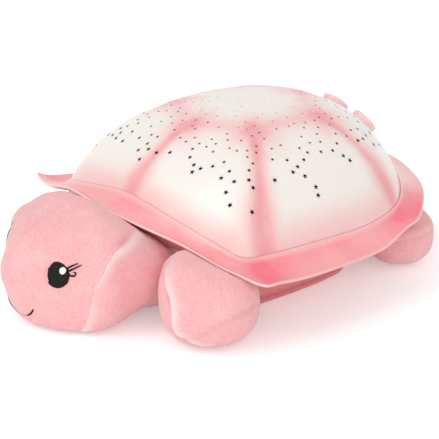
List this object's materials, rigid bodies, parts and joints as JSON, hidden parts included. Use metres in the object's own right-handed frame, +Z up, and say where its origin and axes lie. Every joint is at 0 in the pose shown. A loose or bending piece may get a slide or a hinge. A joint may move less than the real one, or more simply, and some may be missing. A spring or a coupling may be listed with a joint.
{
  "type": "star night light projector",
  "caption": "Stuffed turtle night light: star-pierced translucent shell over a lamp, push buttons on its rear slope, soft brim, battery hatch under a belly flap.",
  "frame": {"origin": "on the table plane under the belly, on the mirror plane of the body, 21 mm in front of the middle of the shell", "axes": "+Z up, the head faces -Y, the turtle's left side is +X"},
  "size_m": [0.2486, 0.3197, 0.1139],
  "materials": {
    "shell": "milky translucent moulding with airbrushed pink ribs",
    "brim": "soft glossy pink vinyl",
    "button": "pale pink translucent caps",
    "tray": "fine grain, off-white",
    "steel": "plated steel",
    "cell": "plain green jacket",
    "circuit": "green solder mask",
    "component": "black moulded parts",
    "can": "blue sleeve",
    "socket": "ivory nylon",
    "lamp_amber": "tinted clear lens",
    "lamp_green": "tinted clear lens",
    "lamp_blue": "tinted clear lens",
    "silicone": "milky silicone",
    "wire_red": "insulated wire",
    "wire_black": "insulated wire",
    "wire_grey": "insulated wire",
    "plush": "short-pile pink plush",
    "tape": "woven fastener tape",
    "thread": "satin-stitched thread"
  },
  "bodies": {
    "shell_and_body": {"shell_dome": "shell", "shell_brim": "brim", "shell_screws": "steel", "base_tray": "tray", "battery_box": "tray", "batteries": "cell", "battery_springs": "steel", "battery_plates": "steel", "main_board": "circuit", "board_screws": "steel", "control_chip": "component", "resistors": "component", "capacitor": "can", "wire_sockets": "socket", "led_tower": "tray", "led_board": "circuit", "led_amber": "lamp_amber", "led_green": "lamp_green", "led_blue": "lamp_blue", "button_frame": "tray", "frame_screws": "steel", "rubber_dome_amber": "silicone", "rubber_dome_green": "silicone", "rubber_dome_blue": "silicone", "rubber_dome_power": "silicone", "switch_board_amber": "circuit", "switch_board_green": "circuit", "switch_board_blue": "circuit", "switch_board_power": "circuit", "battery_lead_red": "wire_red", "battery_lead_black": "wire_black", "switch_harness": "wire_grey", "switch_jumpers": "wire_grey", "body_sleeve": "plush", "belly_panel": "plush", "loop_tape": "tape", "head": "plush", "front_flipper_left": "plush", "front_flipper_right": "plush", "rear_flipper_left": "plush", "rear_flipper_right": "plush", "tail": "plush", "eye_left": "thread", "eye_right": "thread", "mouth_stitching": "thread"},
    "button_amber": {"button_amber": "button"},
    "button_green": {"button_green": "button"},
    "button_blue": {"button_blue": "button"},
    "button_power": {"button_power": "button"},
    "belly_flap": {"belly_flap": "plush", "hook_tape": "tape"},
    "battery_door": {"battery_door": "tray", "battery_door_screws": "steel"}
  },
  "joints": [
    {"name": "button_amber_press", "type": "slide", "parent": "shell_and_body", "child": "button_amber", "axis": [-0.213, -0.7214, -0.6589], "range_m": [0, 0.0012], "stiffness_N_per_m": 400, "deforming": ["rubber_dome_amber"]},
    {"name": "button_green_press", "type": "slide", "parent": "shell_and_body", "child": "button_green", "axis": [0, -0.6521, -0.7582], "range_m": [0, 0.0012], "stiffness_N_per_m": 400, "deforming": ["rubber_dome_green"]},
    {"name": "button_blue_press", "type": "slide", "parent": "shell_and_body", "child": "button_blue", "axis": [0.213, -0.7214, -0.6589], "range_m": [0, 0.0012], "stiffness_N_per_m": 400, "deforming": ["rubber_dome_blue"]},
    {"name": "button_power_press", "type": "slide", "parent": "shell_and_body", "child": "button_power", "axis": [0, -0.8507, -0.5257], "range_m": [0, 0.0012], "stiffness_N_per_m": 400, "deforming": ["rubber_dome_power"]},
    {"name": "belly_flap_hinge", "type": "hinge", "parent": "shell_and_body", "child": "belly_flap", "pos_m": [-0.02675, 0.008, 0], "axis": [0, 1, 0], "range_deg": [0, 150]},
    {"name": "battery_door_slide", "type": "slide", "parent": "shell_and_body", "child": "battery_door", "axis": [0, 0, -1], "range_m": [0, 0.02]}
  ],
  "couplings": [
    {"joint": "battery_door_slide", "follows": "belly_flap_hinge", "m_per_rad": 0.0076}
  ]
}
